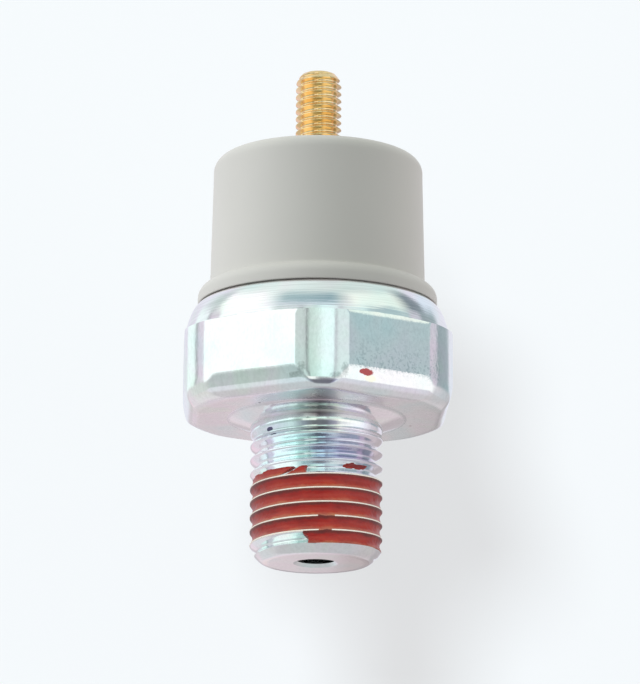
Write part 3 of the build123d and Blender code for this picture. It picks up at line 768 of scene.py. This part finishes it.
def zinc():
    """Bright zinc plate: fine rolling marks, a faint rainbow tint, and lathe lines on the shoulder. Its
    colour also holds painted reflection, painted shade and painted highlights.
    """
    shader = Shader("zinc_steel", (0.90, 0.92, 0.93), 0.1, 1.0)
    across, away, up = shader.axes()
    in_front = shader.rise(away, 0.0, -1.0 * MM)
    on_shoulder = shader.rise(up, shoulder_z - 0.1 * MM, shoulder_z + 0.3 * MM)
    from_under = shader.math("ABSOLUTE", shader.math("SUBTRACT", up, under_z))
    underside = shader.rise(from_under, 0.2 * MM, 0.1 * MM)
    flat_end = shader.rise(up, 0.05 * MM, 0.02 * MM)
    faces_down = shader.math("MAXIMUM", underside, flat_end)
    frost = zinc_frost(shader, across, up, in_front)
    dab = shader.times(shader.spot(across, up, red_dab), in_front)

    # Pale film on the crests of the thread, partly a film of sealant and partly a painted highlight of the
    # bright crest lines
    out = shader.math("SQRT", shader.square_sum(across, away))
    on_crests = shader.rise(out, crest_radius - 0.06 * MM, crest_radius - 0.02 * MM)
    inside = shader.rise(out, crest_radius + 0.4 * MM, crest_radius + 0.3 * MM)
    film = shader.times(on_crests, shader.rise(up, *film_end_z), inside)

    # Colour
    upright = shader.noise(4200, 4.0, (1, 1, 0.5))
    lathe_lines = shader.noise(260, 3.0, (0.6, 0.6, 26))
    grain = shader.range(shader.noise(3000, 5.0, (1, 1, 0.6)), 0.36, 0.6, 0.955, 1.02)
    turned = shader.range(lathe_lines, 0.38, 0.6, 0.92, 1.02)
    color = zinc_tint_and_reflection(shader, across, up)
    color = shader.blend(1.0, color, shader.blend(on_shoulder, grain, turned), "MULTIPLY")
    specks = shader.range(shader.noise(3600, 3.0, (1, 1, 0.8)), 0.5, 0.62, 0.0, 0.65)
    color = shader.blend(shader.times(frost, specks), color, (0.52, 0.56, 0.58))
    # Painted shade on the faces that look down, changing from left to right
    below_painted_shade = shader.ramp(shader.rise(across, -12 * MM, 12 * MM), *faces_down_painted_shade)
    color = shader.shade(faces_down, color, below_painted_shade)
    color = zinc_painted_shade(shader, color, across, up, underside, flat_end)
    for mark, tint in dots_below:
        dot = shader.times(shader.spot(across, away, mark), faces_down)
        color = shader.blend(dot, color, tint)
    blot = shader.times(shader.spot(across, up, dark_blot), in_front)
    color = shader.blend(blot, color, (0.12, 0.12, 0.20))
    # Painted shade at the feet of the strips
    for mark in strip_foot_shades:
        strip_foot_shade = shader.spot(across, up, mark, soft=1.0, ragged=2.2, scale=4500)
        color = shader.blend(shader.times(strip_foot_shade, in_front, 0.55), color, (0.30, 0.33, 0.32))
    stain = shader.times(shader.spot(across, up, pale_stain), in_front)
    color = shader.blend(stain, color, (0.96, 0.93, 0.78))
    # Painted highlight, partly film: pale lines on the crests
    color = shader.blend(film, color, (1.0, 0.88, 0.76))
    color = shader.blend(dab, color, (0.50, 0.07, 0.07))
    shader.set("Base Color", color)

    # Finish
    bare = shader.math("SUBTRACT", 1.0, shader.math("MAXIMUM", dab, film))
    shader.set("Metallic", bare)
    rough = shader.range(shader.noise(700, 4.0), 0.3, 0.7, 0.05, 0.13)
    rough = shader.math("ADD", rough, shader.range(from_under, 0.25 * MM, 0.12 * MM, 0.0, 0.2))
    rough = shader.math("ADD", rough, shader.times(film, 0.35))
    shader.set("Roughness", rough)
    marks = shader.times(upright, shader.math("ADD", shader.times(frost, 1.7), 0.25))
    shader.bump(shader.blend(on_shoulder, marks, shader.times(lathe_lines, 0.7)), 0.00003, 0.6)
    return shader.material


def grey_plastic():
    """Matte moulded plastic."""
    shader = Shader("cap_plastic", (0.55, 0.52, 0.48), 0.55)
    color = shader.ramp(shader.noise(60, 3.0), (0.3, (0.525, 0.482, 0.444)), (0.7, (0.548, 0.503, 0.463)))
    shader.set("Base Color", color)
    shader.bump(shader.noise(3500, 4.0), 0.00001, 0.3)
    return shader.material


def brass():
    """Bare turned brass."""
    shader = Shader("terminal_brass", (0.94, 0.72, 0.38), 0.09, 1.0)
    color = shader.ramp(shader.noise(500, 3.0), (0.3, (0.92, 0.61, 0.28)), (0.7, (1.0, 0.78, 0.48)))
    shader.set("Base Color", color)
    shader.bump(shader.noise(3000, 3.0), 0.00001, 0.3)
    return shader.material


def sealant_red():
    """Dried red sealant, with painted shade across each groove."""
    shader = Shader("thread_sealant", (0.42, 0.03, 0.02), 0.38)
    across, away, up = shader.axes()
    around = shader.math("ADD", shader.math("ARCTAN2", away, across), -FRONT)
    turns = shader.math("DIVIDE", shader.math("SUBTRACT", up, thread_start), thread_pitch)
    turns = shader.math("SUBTRACT", turns, shader.math("DIVIDE", around, 2 * math.pi))
    ragged = shader.range(shader.noise(900, 3.0), 0.3, 0.7, -0.07, 0.07)
    above_crest = shader.math("FRACT", shader.math("ADD", turns, ragged))
    # Painted shade across each groove: lighter just above the crest below, darker under the crest above
    red_with_painted_shade = shader.ramp(
        above_crest,
        (0.0, (0.46, 0.15, 0.09)), (0.15, (0.48, 0.11, 0.065)), (0.32, (0.42, 0.026, 0.012)),
        (0.74, (0.38, 0.016, 0.010)), (0.88, (0.17, 0.020, 0.014)), (1.0, (0.16, 0.03, 0.022)),
    )
    mottle = shader.ramp(
        shader.noise(420, 4.0, (1, 1, 2.4)),
        (0.3, (0.74, 0.60, 0.65)), (0.5, (1.0, 0.95, 0.95)), (0.66, (1.12, 1.5, 1.15)),
    )
    shader.set("Base Color", shader.blend(1.0, red_with_painted_shade, mottle, "MULTIPLY"))
    shader.bump(shader.noise(1800, 3.0), 0.00003, 0.5)
    return shader.material


def plain(name, color, roughness, metallic, spread=0.12):
    """Inner piece: one colour with slight mottling and a fine grain."""
    shader = Shader(name, color, roughness, metallic)
    dark = tuple(c * (1 - spread) for c in color)
    light = tuple(min(1, c * (1 + spread)) for c in color)
    shader.set("Base Color", shader.ramp(shader.noise(400), (0.3, dark), (0.7, light)))
    shader.bump(shader.noise(4000), 0.00001, 0.3)
    return shader.material


def dress(piece, material):
    """Gives a piece its material and slot, and lets it ride on the housing."""
    piece.data.materials.append(material)
    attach(piece, "housing")


# Camera: looks along +Y from half a metre, and up at the part from below the thread's end
photo_height = 684
photo_width = 640
aim_x = 317.2
aim_y = 330.0
focal_pixels = 4735
camera_distance = 0.5
camera_elevation = -14 * DEGREE
camera_turn = -2.1 * DEGREE
camera_roll = 0.36 * DEGREE
aim_z = 25.1 * MM
sensor_mm = 36

camera = bpy.data.objects.new("camera", bpy.data.cameras.new("camera"))
bpy.context.scene.collection.objects.link(camera)
camera.data.sensor_fit = "VERTICAL"
camera.data.sensor_height = sensor_mm
camera.data.lens = focal_pixels / photo_height * sensor_mm
camera.data.shift_x = (photo_width / 2 - aim_x) / photo_height
camera.data.shift_y = (aim_y - photo_height / 2) / photo_height
camera.data.clip_start = 0.01
level_distance = camera_distance * math.cos(camera_elevation)
camera.location = (
    level_distance * math.cos(FRONT + camera_turn),
    level_distance * math.sin(FRONT + camera_turn),
    aim_z + camera_distance * math.sin(camera_elevation),
)
level_view = Euler((90 * DEGREE - camera_elevation, 0, camera_turn)).to_quaternion()
camera.rotation_euler = (level_view @ Quaternion((0, 0, 1), camera_roll)).to_euler()
bpy.context.scene.camera = camera

# Pieces
body = make_body()
dress(body, zinc())
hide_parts("hex_body")
stud = make_stud()
dress(stud, brass())
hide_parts("terminal_stud")
cap = make_cap()
dress(cap, grey_plastic())
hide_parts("cap")
sealant = make_sealant()
sealant.visible_glossy = False
dress(sealant, sealant_red())

slot_materials = {
    "seal_rubber": plain("seal_rubber", (0.03, 0.03, 0.03), 0.6, 0.0),
    "spring_bronze": plain("spring_bronze", (0.62, 0.38, 0.18), 0.3, 1.0),
    "plate_steel": plain("plate_steel", (0.55, 0.56, 0.58), 0.35, 1.0),
    "spring_steel": plain("spring_steel", (0.42, 0.42, 0.45), 0.3, 1.0),
    "frame_brass": plain("frame_brass", (0.72, 0.52, 0.22), 0.32, 1.0),
    "card_board": plain("card_board", (0.26, 0.12, 0.05), 0.6, 0.0),
    "resistance_wire": plain("resistance_wire", (0.55, 0.52, 0.48), 0.35, 1.0),
}
for part in frame["record"]["subparts"]:
    if part["material_slot"] in slot_materials:
        node = frame["nodes"][part["node"]]
        node.data.materials.clear()
        node.data.materials.append(slot_materials[part["material_slot"]])

# Return spring: a copy of the imported one
spring = bpy.data.objects.new("coil_spring", frame["nodes"]["return_spring"].data.copy())
bpy.context.scene.collection.objects.link(spring)
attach(spring, "housing")
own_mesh(spring)
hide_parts("return_spring")

# World: a pale room in layers. Each layer has the elevation where it starts, the softness of that
# edge, and colours at azimuths, all in degrees. Azimuth 0 is the front and 90 is +X.
layers = (
    (-90, 1, ((-180, (0.60, 0.60, 0.62)), (180, (0.60, 0.60, 0.62)))),
    (-46, 6, (
        (-180, (0.78, 0.74, 0.78)), (-150, (0.78, 0.76, 0.80)), (-118, (0.74, 0.72, 0.74)),
        (-94, (0.78, 0.78, 0.86)), (-50, (0.72, 0.80, 0.82)), (-26, (0.30, 0.31, 0.38)),
        (-9, (0.19, 0.185, 0.21)), (16, (0.17, 0.165, 0.21)), (32, (0.34, 0.33, 0.46)),
        (45, (0.72, 0.76, 0.84)), (80, (0.70, 0.68, 0.74)), (120, (0.60, 0.58, 0.60)),
        (150, (0.60, 0.56, 0.58)), (180, (0.78, 0.72, 0.75)),
    )),
    (-19, 2.5, (
        (-180, (0.84, 0.73, 0.72)), (-172, (0.88, 0.78, 0.84)), (-160, (0.86, 0.72, 0.80)),
        (-130, (0.75, 0.76, 0.78)), (-85, (0.60, 0.66, 0.65)), (-72, (0.52, 0.60, 0.59)),
        (-45, (0.50, 0.58, 0.57)), (-28, (0.38, 0.42, 0.42)), (-24, (0.90, 0.92, 0.90)),
        (-4, (0.98, 1.00, 0.98)), (-1, (0.34, 0.34, 0.36)),
        (5, (0.28, 0.27, 0.31)), (22, (0.42, 0.42, 0.50)), (42, (1.06, 1.10, 1.10)),
        (84, (1.06, 1.10, 1.10)), (110, (0.66, 0.66, 0.70)), (150, (0.50, 0.48, 0.50)),
        (170, (0.50, 0.46, 0.48)), (176, (0.58, 0.53, 0.55)), (180, (0.80, 0.72, 0.74)),
    )),
    (-8, 2, (
        (-180, (0.62, 0.56, 0.60)), (-130, (0.75, 0.76, 0.78)), (-85, (0.60, 0.66, 0.65)),
        (-72, (0.50, 0.58, 0.57)), (-45, (0.46, 0.54, 0.53)), (-35, (0.36, 0.40, 0.40)),
        (-29, (0.36, 0.38, 0.38)), (-25, (1.10, 1.10, 1.06)), (-4, (1.10, 1.10, 1.06)),
        (0, (0.50, 0.54, 0.54)), (5, (0.50, 0.56, 0.56)), (12, (0.70, 0.78, 0.77)),
        (22, (0.62, 0.66, 0.66)), (42, (1.06, 1.10, 1.10)), (84, (1.06, 1.10, 1.10)),
        (110, (0.66, 0.66, 0.70)), (150, (0.50, 0.48, 0.50)), (180, (0.52, 0.47, 0.50)),
    )),
    (2, 3, (
        (-180, (0.80, 0.82, 0.90)), (-142, (0.80, 0.82, 0.90)), (-136, (0.92, 1.08, 1.06)),
        (-119, (0.92, 1.08, 1.06)), (-116, (0.34, 0.36, 0.38)), (-113, (0.74, 0.71, 0.80)),
        (-101, (0.75, 0.72, 0.80)), (-96, (1.08, 1.22, 1.20)), (-46, (1.08, 1.22, 1.20)),
        (-38, (0.62, 0.74, 0.71)), (-21, (0.60, 0.72, 0.69)), (-17, (0.26, 0.30, 0.30)),
        (-13, (0.58, 0.76, 0.69)), (-2, (0.66, 0.85, 0.78)), (3, (0.88, 1.12, 1.08)),
        (13, (0.86, 1.10, 1.08)), (17, (0.50, 0.56, 0.58)), (22, (0.72, 0.88, 0.86)),
        (40, (0.74, 0.88, 0.88)), (47, (0.45, 0.56, 0.59)), (86, (0.48, 0.60, 0.62)),
        (91, (0.66, 0.62, 0.70)), (102, (0.66, 0.64, 0.72)), (107, (0.32, 0.39, 0.42)),
        (128, (0.37, 0.45, 0.48)), (136, (0.80, 0.82, 0.90)), (180, (0.80, 0.82, 0.90)),
    )),
    (27, 3, (
        (-180, (0.82, 0.83, 0.92)), (-138, (0.84, 0.86, 0.96)), (-124, (0.70, 0.74, 0.80)),
        (-112, (0.66, 0.70, 0.74)), (-102, (1.10, 1.16, 1.16)), (-62, (1.14, 1.20, 1.18)),
        (-36, (0.84, 0.86, 0.94)), (14, (0.80, 0.84, 0.92)), (34, (0.96, 1.04, 0.98)),
        (80, (0.94, 1.00, 0.92)), (92, (0.50, 0.56, 0.56)), (98, (0.22, 0.27, 0.31)),
        (112, (0.27, 0.32, 0.36)), (122, (0.80, 0.82, 0.93)), (180, (0.82, 0.83, 0.92)),
    )),
    (32, 3, (
        (-180, (0.82, 0.83, 0.92)), (-138, (0.84, 0.86, 0.96)), (-124, (0.62, 0.70, 0.72)),
        (-112, (0.58, 0.66, 0.68)), (-102, (1.10, 1.16, 1.16)), (-62, (1.14, 1.20, 1.18)),
        (-50, (0.96, 1.06, 1.04)), (-34, (0.42, 0.55, 0.58)), (12, (0.32, 0.44, 0.49)),
        (22, (0.62, 0.72, 0.70)), (34, (0.96, 1.04, 0.96)), (80, (0.94, 1.00, 0.92)),
        (90, (0.56, 0.62, 0.60)), (98, (0.22, 0.27, 0.31)), (112, (0.27, 0.32, 0.36)),
        (122, (0.80, 0.82, 0.93)), (180, (0.82, 0.83, 0.92)),
    )),
    (49, 6, (
        (-180, (0.74, 0.84, 0.82)), (-60, (0.82, 0.92, 0.90)), (30, (0.68, 0.79, 0.76)),
        (180, (0.74, 0.84, 0.82)),
    )),
)
camera_color = (0.913, 0.947, 0.965)


class World(Shader):
    """Surroundings, with a Shader's short calls."""

    def __init__(self, name):
        self.world = bpy.data.worlds.new(name)
        self.world.use_nodes = True
        self.tree = self.world.node_tree


def make_world():
    """Pale background for the camera, and the layered room for everything else."""
    room = World("studio")
    direction = room.node("TexCoord").outputs["Generated"]
    x, y, z = room.node("SeparateXYZ", {"Vector": direction}).outputs
    azimuth = room.math("DEGREES", room.math("ARCTAN2", x, room.math("MULTIPLY", y, -1.0)))
    elevation = room.math("DEGREES", room.math("ARCSINE", z))
    share = room.rise(azimuth, -180.0, 180.0)
    color = None
    for start, soft, stops in layers:
        layer = room.ramp(share, *(((around + 180) / 360, tint) for around, tint in stops))
        if color is None:
            color = layer
        else:
            color = room.blend(room.rise(elevation, start - soft, start + soft), color, layer)
    seen = room.node("LightPath").outputs["Is Camera Ray"]
    room.feed(room.tree.nodes["Background"].inputs["Color"], room.blend(seen, color, camera_color))
    bpy.context.scene.world = room.world


make_world()

# Lamps, and the card behind the part. A sun for the card alone throws the part's shadow on it, to the
# lower right.
lamp_distance = 0.5
card_half = 0.12
card_y = 0.045
card_fade = (0.1, 0.06)
card_shade = (0.35, 0.35, 0.345)
card_glow = (0.518, 0.508, 0.519)
sun_azimuth = -15
sun_elevation = 11.5
sun_energy = 1.95
sun_color = (0.88, 1.0, 1.08)
sun_angle = 15 * DEGREE


def hang_lamp(name, lamp, azimuth, elevation, lit):
    """Hangs a lamp that looks at the part. It lights only the given pieces and shows in no reflection."""
    holder = bpy.data.objects.new(name, lamp)
    bpy.context.scene.collection.objects.link(holder)
    turn = azimuth * DEGREE
    lift = elevation * DEGREE
    away = Vector((math.sin(turn) * math.cos(lift), -math.cos(turn) * math.cos(lift), math.sin(lift)))
    holder.location = away * lamp_distance + Vector((0, 0, aim_z))
    holder.rotation_euler = away.to_track_quat("Z", "Y").to_euler()
    holder.visible_glossy = False
    group = bpy.data.collections.new(name)
    for piece in lit:
        group.objects.link(piece)
    holder.light_linking.receiver_collection = group


def soft_lamp(name, azimuth, elevation, power, size, lit, color=(1, 1, 1)):
    """Square lamp, hung at an azimuth and an elevation in degrees."""
    lamp = bpy.data.lights.new(name, "AREA")
    lamp.color = color
    lamp.energy = power
    lamp.size = size
    hang_lamp(name, lamp, azimuth, elevation, lit)


def make_backdrop():
    """Upright card behind the part, for its soft shadow. Only the camera sees it, from its front
    side, and it fades into the background at its rim."""
    mesh = bpy.data.meshes.new("backdrop")
    corners = [(x * card_half, 0, z * card_half) for x, z in ((-1, -1), (1, -1), (1, 1), (-1, 1))]
    mesh.from_pydata(corners, [], [(0, 1, 2, 3)])
    card = bpy.data.objects.new("backdrop", mesh)
    bpy.context.scene.collection.objects.link(card)
    card.location = (0, card_y, aim_z)
    shader = Shader("backdrop", card_shade, 1.0)
    shader.set("Specular IOR Level", 0.0)
    shader.set("Emission Color", (*card_glow, 1))
    shader.set("Emission Strength", 1.0)
    across, _, up = shader.axes()
    within = shader.rise(shader.math("SQRT", shader.square_sum(across, up)), *card_fade)
    front = shader.math("SUBTRACT", 1.0, shader.node("NewGeometry").outputs["Backfacing"])
    shader.set("Alpha", shader.times(within, front))
    mesh.materials.append(shader.material)
    for ray in ("diffuse", "glossy", "transmission", "shadow"):
        setattr(card, "visible_" + ray, False)
    sun = bpy.data.lights.new("shadow_sun", "SUN")
    sun.energy = sun_energy
    sun.color = sun_color
    sun.angle = sun_angle
    hang_lamp("shadow_sun", sun, sun_azimuth, sun_elevation, (card,))


# The cap's left side is lit, with a rim of light at its right and on the ledge of its flange, and the
# last lamp lights the sealant
soft_lamp("key_left", -80, 14, 1.45, 0.25, (cap,), (0.92, 1.0, 1.08))
soft_lamp("rim_right", 118, 5, 0.8, 0.2, (cap,))
soft_lamp("top_back", 180, 62, 0.3, 0.2, (cap,))
soft_lamp("top_front", 0, 84, 0.45, 0.2, (cap,))
soft_lamp("thread_front", -5, 24, 0.7, 0.2, (sealant, body))
make_backdrop()

bpy.context.scene.view_settings.view_transform = "Standard"
